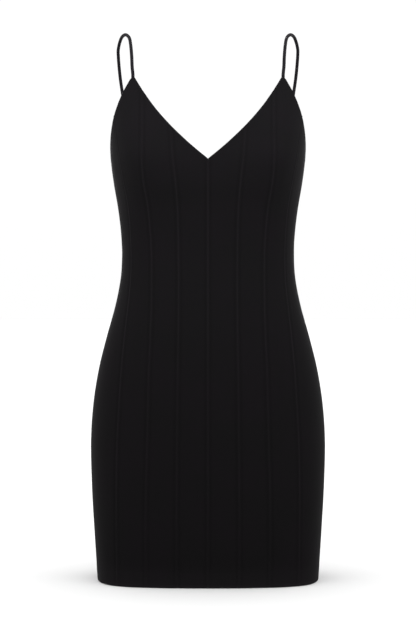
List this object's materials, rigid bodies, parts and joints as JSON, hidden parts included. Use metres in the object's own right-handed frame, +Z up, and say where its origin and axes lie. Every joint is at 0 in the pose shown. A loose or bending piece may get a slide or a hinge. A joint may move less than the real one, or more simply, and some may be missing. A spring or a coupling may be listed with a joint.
{
  "type": "bodycon dress",
  "caption": "Close-fitting black panelled mini dress with a V neckline and thin rolled shoulder straps, held open in its worn shape.",
  "frame": {"origin": "where the wearer's shoulders hold the dress: midway between the two straps, just under the undersides of their tops", "axes": "+Z up; the front faces -Y; +X towards the wearer's left"},
  "size_m": [0.3394, 0.2375, 0.7907],
  "materials": {
    "cloth": "matte black stretch crepe",
    "strap": "matte black crepe, cut on the bias and rolled"
  },
  "bodies": {
    "root": {"front_centre_left": "cloth", "front_inner_left": "cloth", "front_outer_left": "cloth", "front_side_left": "cloth", "back_side_left": "cloth", "back_middle_left": "cloth", "back_centre_left": "cloth", "strap_left": "strap", "front_centre_right": "cloth", "front_inner_right": "cloth", "front_outer_right": "cloth", "front_side_right": "cloth", "back_side_right": "cloth", "back_middle_right": "cloth", "back_centre_right": "cloth", "strap_right": "strap"}
  },
  "joints": []
}
